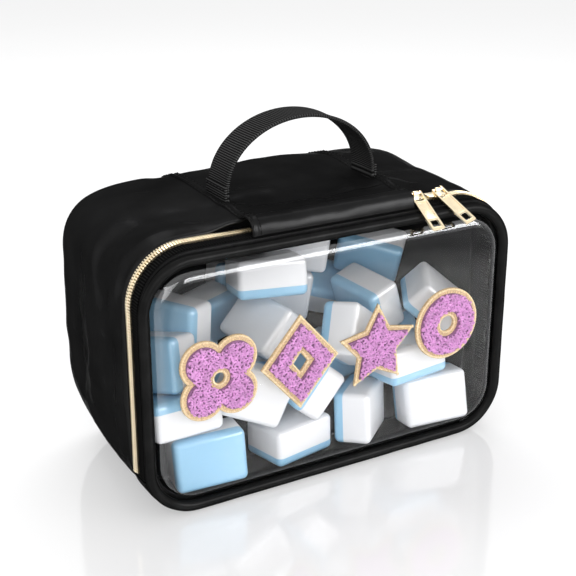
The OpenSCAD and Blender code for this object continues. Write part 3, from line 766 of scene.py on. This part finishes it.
class CASE_OT_flap(bpy.types.Operator):
    """Makes the fold of the top cloth that rolls down over the zip to the piping, and the strip
    of cloth beside the piping at the foot"""
    bl_idname = "case.flap"
    bl_label = "Zip flap"

    def execute(self, context):
        shell = surface_of(bpy.data.objects["cloth_shell"].data)
        backs = [-30, -33, -36, -39, -42, -44.2]
        columns, above, down = 90, 0.25, Vector((0, 0, -1))

        def place(i, j):
            x = FLAP_ENDS[0] + (FLAP_ENDS[1] - FLAP_ENDS[0]) * i / columns
            if j < len(backs):
                hit = shell.ray_cast(Vector((x, backs[j] * MM, above)), down)[0]
                return hit + Vector((0, 0, 0.12 * MM * min(1, j / 2)))
            y, z = FLAP_SECTION[j - len(backs)]
            k = (j - len(backs) + 1) / len(FLAP_SECTION)
            wave = noise.noise(Vector((x * 45, k * 1.3, 2))) * 0.7
            wave += noise.noise(Vector((x * 110, k * 2, 7))) * 0.25
            wave *= math.sin(math.pi * min(1, k * 1.15))
            return Vector((x, y * MM, z * MM)) + Vector((0, -0.8, 0.5)) * wave * MM

        bm = mapped_grid(columns, len(backs) + len(FLAP_SECTION) - 1, place)
        if sum(f.normal.z for f in bm.faces) < 0:
            bmesh.ops.reverse_faces(bm, faces=bm.faces)
        bmesh.ops.smooth_vert(bm, verts=[v for v in bm.verts if not v.is_boundary], factor=0.4,
                              use_axis_x=False, use_axis_y=True, use_axis_z=True)
        piece = finish_piece("zip_flap_cloth", bm, ["outer_cloth"], "case", ("zip_flap",))
        subdivide(piece)
        thicken(piece, 1.0 * MM)
        finish_piece("gusset_cloth", cad_copy("base_gusset"), ["outer_cloth"], "case", ("base_gusset",),
                     SHARP)
        return {"FINISHED"}


# Half the width of a seam's binding, with its two raised edges, in mm: across and up.
BINDING = [(-2.5, -0.3), (-2.5, 0.5), (-2.2, 0.95), (-1.6, 1.05), (-0.8, 0.75), (0, 0.6), (0.8, 0.75),
           (1.6, 1.05), (2.2, 0.95), (2.5, 0.5), (2.5, -0.3)]


class CASE_OT_seams(bpy.types.Operator):
    """Sews the folded bindings of the two cross seams onto the cloth"""
    bl_idname = "case.seams"
    bl_label = "Seam bindings"

    def execute(self, context):
        for side in ("left", "right"):
            path = self.seam(SEAM_X[side], side == "left")
            profile = [(a * MM, u * MM) for a, u in BINDING]
            bm = sweep(path, profile, False)
            finish_piece(f"seam_binding_{side}_cloth", bm, ["outer_cloth"], "case", ("seam_binding_" + side,),
                         60)
            rows = [[(p + across * a * MM + up * 1.0 * MM, up) for p, up, across in path] for a in (-1.9, 1.9)]
            sew(f"seam_stitches_{side}", rows, "case")
        return {"FINISHED"}

    def seam(self, x, to_lip):
        """Points down the middle of a seam, from the back over the top to the front."""
        cloth = surface_of(bpy.data.objects["cloth_shell"].data, bpy.data.objects["zip_flap_cloth"].data)
        inside = 128 * MM
        aims = [(Vector((x, 40 * MM, inside)), math.radians(90 - a)) for a in range(58, 0, -4)]
        aims += [(Vector((x, y * MM, inside)), math.pi / 2) for y in range(40, -44, -2)]
        if to_lip:
            lip = Vector((x + 2 * MM, -49 * MM, 146.5 * MM))
            aims += [(Vector((x, y * MM, inside)), math.pi / 2) for y in (-45, -46.5, -48)]
            aims += [(lip, math.radians(a)) for a in range(90, 194, 8)]
        points = []
        for start, angle in aims:
            way = Vector((0, math.cos(angle), math.sin(angle)))
            hit = cloth.ray_cast(start + way * 60 * MM, -way)[0]
            if hit and (not points or (hit - points[-1]).length > 0.4 * MM):
                points.append(Vector((x, hit.y, hit.z)))
        if not to_lip:
            last = points[-1]
            points += [last + Vector((0, -1.0, -0.25)) * MM, last + Vector((0, -1.5, -0.9)) * MM]
        path = []
        for p, course in zip(points, courses(points)):
            path.append((p, Vector((0, -course.z, course.y)) * (-1 if course.y < 0 else 1), Vector((1, 0, 0))))
        return [(p, up if up.z > -0.2 or p.y < 0 else -up, across) for p, up, across in path]


class CASE_OT_handle(bpy.types.Operator):
    """Makes the ribbed webbing handle, which bends just above its sewn ends"""
    bl_idname = "case.handle"
    bl_label = "Handle"

    def execute(self, context):
        lo, hi = low("handle_strap"), high("handle_strap")
        width, thick, leg = hi.y - lo.y, 1.9 * MM, 6 * MM
        half = (high("handle_tab_right").x - low("handle_tab_left").x) / 2 - thick / 2
        foot = low("handle_tab_left").z - 1 * MM
        rise = hi.z - thick / 2 - foot - leg
        steps = 170
        points = [Vector((STRAP_X - half, STRAP_Y, foot + leg * k / 4)) for k in range(4)]
        for k in range(steps + 1):
            a = math.pi * (1 - k / steps)
            points.append(Vector((STRAP_X + half * math.cos(a), STRAP_Y, foot + leg + rise * math.sin(a))))
        points += [Vector((STRAP_X + half, STRAP_Y, foot + leg * (1 - k / 4))) for k in range(1, 5)]
        length = sum((b - a).length for a, b in zip(points, points[1:]))
        path = [(p, Vector((-course.z, 0, course.x)), Vector((0, 1, 0)))
                for p, course in zip(points, courses(points))]
        rim = [(-0.5, 0), (-0.495, 0.34), (-0.475, 0.52), (-0.44, 0.5)]
        face = [(a / 10, 0.5 - 0.12 * math.cos(math.pi * a / 10)) for a in range(-4, 5)]
        top = rim + face + [(-a, u) for a, u in reversed(rim)]
        outline = [(a * width, u * thick) for a, u in top]
        outline += [(a * width, -u * thick) for a, u in reversed(top[1:-1])]
        bm = sweep(path, outline, False, (length, 2 * width))
        piece = finish_piece("handle_webbing", bm, ["webbing"], None,
                             ("handle_strap", "handle_tab_left", "handle_tab_right"), 50)
        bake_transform(piece)
        self.ends(half, foot, width)
        return {"FINISHED"}

    def ends(self, half, foot, width):
        """Folded ends of the webbing, sewn down with two rows of stitches each."""
        for name, way in (("left", -1), ("right", 1)):
            x = STRAP_X + way * (half + 1.3 * MM)
            bm = bmesh.new()
            bmesh.ops.create_cube(bm, size=1)
            bmesh.ops.scale(bm, vec=(1.6 * MM, width + 0.8 * MM, 8.2 * MM), verts=bm.verts)
            bmesh.ops.translate(bm, vec=(x, STRAP_Y, foot + 5.3 * MM), verts=bm.verts)
            round_edges(bm, bm.edges, 0.6 * MM, 3)
            uv = bm.loops.layers.uv.new("UVMap")
            for f in bm.faces:
                for corner in f.loops:
                    corner[uv].uv = (corner.vert.co.z, corner.vert.co.y)
            finish_piece(f"handle_end_{name}", bm, ["webbing"], "case", (), SHARP)
            rows = [[(Vector((x + way * 0.85 * MM, STRAP_Y + y * width, foot + z * MM)), Vector((way, 0, 0)))
                     for y in (-0.44, 0.44)] for z in (3.2, 7.6)]
            sew(f"handle_stitches_{name}", rows, "case")


# Section of the sheet from its rim inwards in mm: inset and y in front of the piping's middle.
DOME = [(0, 2.8), (0.8, 2.5), (1.6, 1.9), (2.6, 0.9), (3.6, -0.1), (4.6, -1.1), (5.5, -1.95), (6.8, -2.8),
        (8.6, -3.4), (11, -3.8), (14, -3.95)]


class CASE_OT_window(bpy.types.Operator):
    """Makes the clear domed sheet"""
    bl_idname = "case.window"
    bl_label = "Window"

    def execute(self, context):
        lo, hi = low("window_panel"), high("window_panel")
        half = hi.x
        start = DOME[-1][0] * MM
        reach = (hi.z - lo.z) / 2 - 1 * MM - start
        rings = [(e * MM, y * MM) for e, y in DOME]
        rings += [(start + reach * k / 9, -3.96 * MM) for k in range(1, 10)]
        radius = CORNER_R - 4 * MM

        def path(e):
            r = max(radius - e, 0.4 * MM)
            return corner_path(half - e, lo.z + e, hi.z - e, r, r, arc=14, side=14, across=26)

        paths = [path(e) for e, _ in rings]
        n = len(paths[0])

        def place(i, j):
            p = paths[j][i % n][0]
            return Vector((p.x, FRONT_Y + rings[j][1], p.z))

        bm = mapped_grid(n, len(rings) - 1, place, closed=True)
        rim = [e for e in bm.edges if e.is_boundary and abs(e.verts[0].co.x) < half - 20 * MM
               and e.verts[0].co.y < FRONT_Y]
        bmesh.ops.holes_fill(bm, edges=rim, sides=0)
        if sum(f.normal.y * f.calc_area() for f in bm.faces) > 0:
            bmesh.ops.reverse_faces(bm, faces=bm.faces)
        piece = finish_piece("window_sheet", bm, ["clear_vinyl"], "door", ("window_panel",))
        subdivide(piece)
        return {"FINISHED"}


class CASE_OT_piping(bpy.types.Operator):
    """Makes the piping, its binding, the facing and the tapes of the zip"""
    bl_idname = "case.piping"
    bl_label = "Piping and tapes"

    def execute(self, context):
        r = PIPING_D / 2
        half = FRONT_W / 2 - r
        path = corner_path(half, r, FRONT_H - r, CORNER_R - r, CORNER_R - r, arc=24, side=30, across=60)
        across = Vector((0, 1, 0))
        bm = sweep([(p, out, across) for p, out in path], round_profile(FRONT_Y, 0, r, 18))
        for v in bm.verts:
            v.co += v.normal * 0.12 * MM * noise.noise(v.co * 90)
            v.co.z = max(v.co.z, 0.0)
        finish_piece("window_cord", bm, ["piping_vinyl"], "door", ("window_piping",))
        for node in ("window_binding", "zip_facing"):
            from_cad(node, "_cloth", "outer_cloth", "door", SHARP)
        lane, t = 0.5 * MM, 0.8 * MM
        arch = [(p, out, across) for p, out in arch_path(TAPE_HALF, TAPE_TOP, TAPE_R, ZIP_LOW, 1.5 * MM)]
        length = arch_length(TAPE_HALF, TAPE_TOP, TAPE_R, ZIP_LOW)
        front = [(TAPE_FRONT, -t), (TAPE_FRONT, -0.1 * MM), (TAPE_FRONT + 0.3 * MM, 0), (ZIP_Y - 2.2 * MM, 0),
                 (ZIP_Y - lane, 0), (ZIP_Y - lane, -t)]
        rear = [(ZIP_Y + lane, -t), (ZIP_Y + lane, 0), (SHELL_Y - 0.1 * MM, 0), (SHELL_Y + 0.4 * MM, -0.4 * MM),
                (TAPE_REAR, -0.4 * MM), (TAPE_REAR, -0.4 * MM - t)]
        for node, body, profile in (("zip_tape_door", "door", front), ("zip_tape_case", "case", rear)):
            bm = sweep(arch, profile, False, (length, 20 * MM))
            finish_piece(node + "_woven", bm, ["zip_tape"], body, (node,), SHARP)
        return {"FINISHED"}


class CASE_OT_zip(bpy.types.Operator):
    """Makes the two interlocked rows of teeth, the sliders and their pulls"""
    bl_idname = "case.zip"
    bl_label = "Zip"

    def execute(self, context):
        pitch = context.scene.case_zip.pitch
        start_z = ZIP_LOW + 1 * MM
        total = arch_length(TAPE_HALF, TAPE_TOP, TAPE_R, start_z)
        for side, node, body in ((1, "zip_teeth_case", "case"), (-1, "zip_teeth_door", "door")):
            tooth = bmesh.new()
            for v in bmesh.ops.create_cube(tooth, size=1)["verts"]:
                inner = v.co.y * side < 0
                v.co.x *= pitch * (0.47 if inner else 0.76)
                v.co.y = side * MM * (-0.6 if inner else 2.8)
                v.co.z = (1.6 if v.co.z > 0 else 0.1) * MM if inner else (1.35 if v.co.z > 0 else 0) * MM
            round_edges(tooth, tooth.edges, 0.18 * MM, 1)
            places = []
            t = pitch * (1 if side > 0 else 1.5)
            while t < total - pitch:
                point, out = arch_at(t, TAPE_HALF, TAPE_TOP, TAPE_R, start_z)
                point.y = ZIP_Y
                places.append(facing(point, Vector((out.z, 0, -out.x)), Vector((0, 1, 0)), out))
                t += pitch
            bm = spread(tooth, places)
            bmesh.ops.recalc_face_normals(bm, faces=bm.faces)
            finish_piece(node + "_metal", bm, ["zip_metal"], body, (node,), METAL_SHARP)
        for node in ("slider_left", "slider_right", "pull_left", "pull_right"):
            piece = from_cad(node, "_metal", "zip_metal", node, METAL_SHARP)
            edge = piece.modifiers.new("edge", "BEVEL")
            edge.limit_method = "ANGLE"
            edge.angle_limit = math.radians(SHARP)
            edge.width = 0.16 * MM
            edge.segments = 2
            edge.use_clamp_overlap = True
            apply_modifiers(piece, METAL_SHARP)
        return {"FINISHED"}


SHAPES = ("flower", "diamond", "star", "ring")


class CASE_OT_patches(bpy.types.Operator):
    """Makes the felt backings with their sewn edge and the looped pile on them"""
    bl_idname = "case.patches"
    bl_label = "Patches"

    def execute(self, context):
        s = context.scene.case_patches
        for seed, shape in enumerate(SHAPES):
            felt, pile = "felt_" + shape, "pile_" + shape
            bm = cad_copy(felt)
            rim = [e for e in bm.edges if len(e.link_faces) == 2 and e.calc_face_angle() > math.radians(60)
                   and max(v.co.y for v in e.verts) < low(felt).y + 0.2 * MM]
            round_edges(bm, rim, 0.45 * MM, 2)
            finish_piece(f"patch_{felt}", bm, ["felt_cloth"], "door", (felt,), SHARP)
            self.edge(felt, shape)
            ground = cad_copy(pile)
            for v in ground.verts:
                v.co.y = max(v.co.y, high(pile).y - 1.2 * MM)
            finish_piece(f"patch_{pile}_ground", ground, ["shaded_yarn_ground"], "door", (pile,), SHARP)
            self.loops(pile, s, random.Random(seed + 3))
        return {"FINISHED"}

    def edge(self, felt, shape):
        """Slanting stitches of gold thread close along the edge of the felt."""
        bm = cad_copy(felt)
        front = [f for f in bm.faces if f.normal.y < -0.9]
        y = low(felt).y
        lines = []
        for e in {e for f in front for e in f.edges if any(g.normal.y > -0.5 for g in e.link_faces)}:
            face = next(f for f in e.link_faces if f.normal.y < -0.9)
            a, b = (v.co.copy() for v in e.verts)
            inward = Vector((0, -1, 0)).cross(b - a).normalized()
            wall = next(f for f in e.link_faces if f.normal.y > -0.5)
            if inward.dot(wall.normal) > 0:
                inward.negate()
            lines.append((a, b, inward))
        bm.free()
        places, out = [], Vector((0, -1, 0))
        slant = Matrix.Rotation(math.radians(18), 4, "Y")
        for a, b, inward in lines:
            n = max(1, round((b - a).length / (0.62 * MM)))
            for k in range(n):
                p = a.lerp(b, (k + 0.5) / n) + inward * 0.75 * MM
                p.y = y
                places.append(facing(p, inward, out, inward.cross(out)) @ slant
                              @ Matrix.Diagonal((0.80 * MM, 0.34 * MM, 0.27 * MM, 1)))
        finish_piece(f"patch_edge_{shape}", spread(bead(), places), ["gold_thread"], "door", ())

    def loops(self, pile, s, chance):
        """Short curls of yarn set close together over the pile's ground, as chenille has."""
        tree = surface_of(FRAME["nodes"][pile].data)
        top, room = low(pile).y, 0.6 * MM
        curl = mapped_grid(6, 5, self.curl(s.yarn), closed=True)
        close_ends(curl)
        lo, hi, d = low(pile), high(pile), s.spacing
        places = []
        for row in range(int((hi.z - lo.z) / (d * 0.8)) + 1):
            for column in range(int((hi.x - lo.x) / d) + 1):
                x = lo.x + (column + 0.5 * (row % 2) + chance.uniform(-0.25, 0.25)) * d
                z = lo.z + (row * 0.8 + chance.uniform(-0.25, 0.25)) * d
                around = [tree.ray_cast(Vector((x + a, top - 5 * MM, z + b)), Vector((0, 1, 0)))[0]
                          for a, b in ((0, 0), (room, 0), (-room, 0), (0, room), (0, -room))]
                if not all(around):
                    continue
                angles = [math.radians(chance.uniform(a, b)) for a, b in ((-34, 34), (0, 360), (-34, 34))]
                turn = Euler(angles, "YXZ").to_matrix().to_4x4()
                at = Vector((x, top + s.yarn + chance.uniform(-0.1, 0.5) * MM, z))
                places.append(Matrix.Translation(at) @ turn)
        finish_piece(f"patch_{pile}_loops", spread(curl, places), ["yarn"], "door", ())

    def curl(self, thick):
        """Places for a grid that make three quarters of a small ring of yarn with round ends."""
        radius = 1.0 * MM

        def place(i, j):
            a, b = math.radians(40 + 44 * i), 2 * math.pi * (j % 5) / 5
            girth = thick * (0.62 if i in (0, 6) else 1)
            out = heading(a)
            return out * (radius + girth * math.cos(b)) + Vector((0, girth * math.sin(b), 0))

        return place


class CASE_OT_tiles(bpy.types.Operator):
    """Makes the loose tiles, white with a blue back"""
    bl_idname = "case.tiles"
    bl_label = "Tiles"

    def execute(self, context):
        s = context.scene.case_tiles
        for n, (x, y, z, rx, ry, rz, blue_side) in enumerate(TILES):
            turn = Euler([math.radians(a) for a in (rx, ry, rz)]).to_matrix().to_4x4()
            bm = bmesh.new()
            bmesh.ops.create_cube(bm, size=1)
            bmesh.ops.scale(bm, vec=TILE_SIZE, verts=bm.verts)
            round_edges(bm, bm.edges, s.edge, 5)
            cut = TILE_SIZE.y / 2 - s.blue_layer
            bmesh.ops.bisect_plane(bm, geom=bm.verts[:] + bm.edges[:] + bm.faces[:],
                                   plane_co=(0, cut * blue_side, 0), plane_no=(0, 1, 0), dist=1e-6)
            for f in bm.faces:
                f.material_index = 1 if f.calc_center_median().y * blue_side > cut else 0
            bmesh.ops.transform(bm, matrix=Matrix.Translation(Vector((x, y, z)) * MM) @ turn, verts=bm.verts)
            name = f"tile_{n + 1:02d}"
            replaced = (name,) if n < FRONT_TILES else ("tiles_behind",) if n == FRONT_TILES else ()
            finish_piece(f"game_{name}", bm, ["tile_white", "tile_blue"], "case", replaced, 35)
        return {"FINISHED"}


# Width of the camera's sensor in mm and of the image in pixels.
SENSOR, IMAGE = 36, 576
# Name, size in m, power in W and place of each lamp. The strip is seen only as a reflection.
LAMPS = [
    ("key", (1.0, 1.0), 10.5, (-0.75, -1.35, 0.8)), ("fill", (1.2, 1.2), 5.5, (0.9, -1.3, 0.7)),
    ("back", (1.2, 0.7), 13, (0.3, 0.75, 1.2)), ("side", (0.4, 1.0), 2, (-1.1, 0.45, 0.5)),
    ("strip", (1.3, 0.6), 28, (0.75, -1.22, 0.68)),
]
# The middle of the case, at which they point.
LIT = Vector((0, 0, 0.07))


class CASE_OT_stage(bpy.types.Operator):
    """Sets the floor, the lights and the camera of the photograph"""
    bl_idname = "case.stage"
    bl_label = "Stage"

    def execute(self, context):
        scene, s = context.scene, context.scene.case_stage
        scene.view_settings.view_transform = "Standard"
        turn = Matrix.Rotation(s.azimuth, 3, "Z") @ Matrix.Rotation(math.pi / 2 - s.elevation, 3, "X")
        right, up, back = (turn @ Vector(v) for v in ((1, 0, 0), (0, 1, 0), (0, 0, 1)))
        target = Vector((0, FRONT_Y, FRONT_H / 2))
        pixel = s.distance * SENSOR / (s.lens * IMAGE)
        aside, below = ((shown - IMAGE / 2) * pixel for shown in s.shown_at)
        place = target + back * s.distance - right * aside + up * below
        camera = bpy.data.cameras.new("camera")
        camera.lens, camera.sensor_width = s.lens, SENSOR
        camera.clip_start, camera.clip_end = 0.01, 50
        eye = bpy.data.objects.new("camera", camera)
        eye.matrix_world = Matrix.Translation(place) @ turn.to_4x4()
        scene.collection.objects.link(eye)
        scene.camera = eye

        bm = bmesh.new()
        bmesh.ops.create_grid(bm, x_segments=1, y_segments=1, size=8)
        bmesh.ops.translate(bm, vec=(0, 0, -0.3 * MM), verts=bm.verts)
        floor = finish_piece("floor", bm, ["floor_gloss"], None)
        self.lights(scene)
        self.world(scene)
        return {"FINISHED"}

    def lights(self, scene):
        for name, size, power, place in LAMPS:
            lamp = bpy.data.lights.new(name, "AREA")
            lamp.shape = "RECTANGLE"
            lamp.size, lamp.size_y = size
            lamp.energy = power
            ob = bpy.data.objects.new(name, lamp)
            ob.location = place
            ob.visible_diffuse = name != "strip"
            ob.rotation_euler = (LIT - Vector(place)).to_track_quat("-Z", "Y").to_euler()
            scene.collection.objects.link(ob)

    def world(self, scene):
        """White all round, which lights the scene less brightly than it shows."""
        scene.world = bpy.data.worlds.new("studio")
        scene.world.use_nodes = True
        tree = scene.world.node_tree
        tree.nodes.clear()
        lit = add_node(tree, "Background", {"Color": (1, 1, 1, 1), "Strength": 0.68})
        seen = add_node(tree, "Background", {"Color": (1, 1, 1, 1)})
        rays = add_node(tree, "LightPath").outputs
        shows = rays["Is Camera Ray"]
        for kind in ("Is Glossy Ray", "Is Transmission Ray"):
            shows = add_node(tree, "Math", {0: shows, 1: rays[kind]}, operation="MAXIMUM").outputs[0]
        mix = add_node(tree, "MixShader", {0: shows, 1: lit.outputs[0], 2: seen.outputs[0]})
        add_node(tree, "OutputWorld", {"Surface": mix.outputs[0]})


class CASE_PT_panel(bpy.types.Panel):
    """Lists the steps that build the case, with their settings"""
    bl_label = "Soft zip case"
    bl_idname = "CASE_PT_panel"
    bl_space_type = "VIEW_3D"
    bl_region_type = "UI"
    bl_category = "Case"

    def draw(self, context):
        for name, group in SETTINGS.items():
            box = self.layout.box()
            for key in group.__annotations__:
                box.prop(getattr(context.scene, name), key)
        for op in OPERATORS:
            self.layout.operator(op.bl_idname)


OPERATORS = (CASE_OT_shell, CASE_OT_lining, CASE_OT_flap, CASE_OT_seams, CASE_OT_handle, CASE_OT_window,
             CASE_OT_piping, CASE_OT_zip, CASE_OT_patches, CASE_OT_tiles, CASE_OT_stage)
CLASSES = (*SETTINGS.values(), *OPERATORS, CASE_PT_panel)


def register():
    for c in CLASSES:
        bpy.utils.register_class(c)
    for name, group in SETTINGS.items():
        setattr(bpy.types.Scene, name, PointerProperty(type=group))


def unregister():
    for name in SETTINGS:
        delattr(bpy.types.Scene, name)
    for c in reversed(CLASSES):
        bpy.utils.unregister_class(c)


def main():
    register()
    bpy.ops.case.shell()
    bpy.ops.case.lining()
    bpy.ops.case.flap()
    bpy.ops.case.seams()
    bpy.ops.case.handle()
    bpy.ops.case.window()
    bpy.ops.case.piping()
    bpy.ops.case.zip()
    bpy.ops.case.patches()
    bpy.ops.case.tiles()
    bpy.ops.case.stage()
    bpy.context.view_layer.update()


if __name__ == "__main__":
    main()
